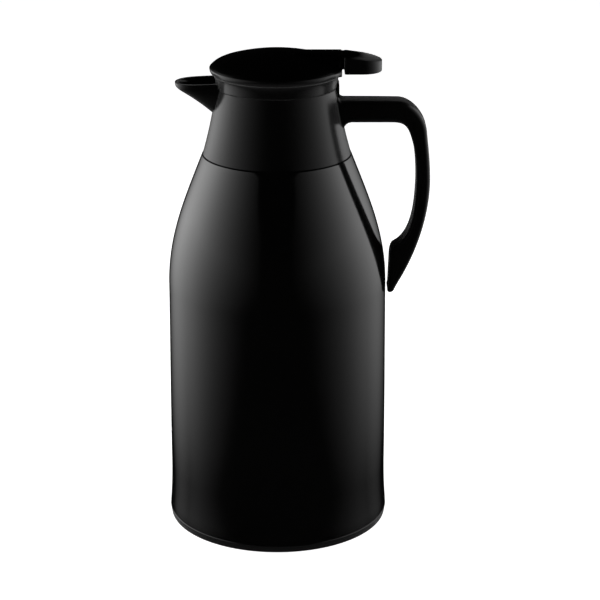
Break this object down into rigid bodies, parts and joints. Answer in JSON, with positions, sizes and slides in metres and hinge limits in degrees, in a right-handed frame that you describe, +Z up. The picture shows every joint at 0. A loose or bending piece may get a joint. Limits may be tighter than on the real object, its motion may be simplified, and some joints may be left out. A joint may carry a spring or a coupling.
{
  "type": "vacuum pouring jug",
  "caption": "Glass-lined vacuum pouring jug with a tapered neck collar, short spout, hooked handle and a lift-out stopper lid whose thumb lever opens a spring-closed valve.",
  "frame": {"origin": "centre of the flat underside of the anti-slip pad, on the table", "axes": "+Z up along the jug's axis, -X towards the spout, +X towards the handle"},
  "size_m": [0.1629, 0.1384, 0.3003],
  "materials": {
    "gloss_shell": "polished black",
    "satin_black": "fine satin black",
    "inner_black": "plain black, food-safe",
    "soft_rubber": "soft black",
    "silicone": "milky silicone",
    "silvered_glass": "silvered on the vacuum side",
    "steel": "stainless wire and pin",
    "felt": "mineral fibre pad"
  },
  "bodies": {
    "jug_body": {"outer_shell": "gloss_shell", "neck_collar": "satin_black", "base_cup": "satin_black", "anti_slip_pad": "soft_rubber", "base_cushion": "soft_rubber", "flask_outer_glass": "silvered_glass", "flask_inner_glass": "silvered_glass", "neck_gasket": "silicone", "flask_spacer_1": "felt", "flask_spacer_2": "felt", "flask_spacer_3": "felt"},
    "lid": {"lid_cover": "satin_black", "lid_skirt": "satin_black", "lid_seal": "silicone", "stopper_body": "inner_black", "stopper_gasket": "silicone", "spring_bridge": "inner_black", "pivot_pin": "steel", "valve_spring": "steel"},
    "lever": {"thumb_lever": "satin_black"},
    "valve": {"valve_stem": "inner_black", "stem_nut": "steel", "valve_plug": "inner_black", "valve_seal": "silicone"}
  },
  "joints": [
    {"name": "lid_lift", "type": "slide", "parent": "jug_body", "child": "lid", "axis": [0, 0, 1], "range_m": [0, 0.06]},
    {"name": "lever_press", "type": "hinge", "parent": "lid", "child": "lever", "pos_m": [0.0337, 0, 0.2935], "axis": [0, 1, 0], "range_deg": [0, 10], "stiffness_Nm_per_rad": 0.9, "springref_deg": -6.88},
    {"name": "valve_lift", "type": "slide", "parent": "lid", "child": "valve", "axis": [0, 0, 1], "range_m": [0, 0.0057], "deforming": ["valve_spring"]}
  ],
  "couplings": [
    {"joint": "valve_lift", "follows": "lever_press", "m_per_rad": 0.0321}
  ]
}
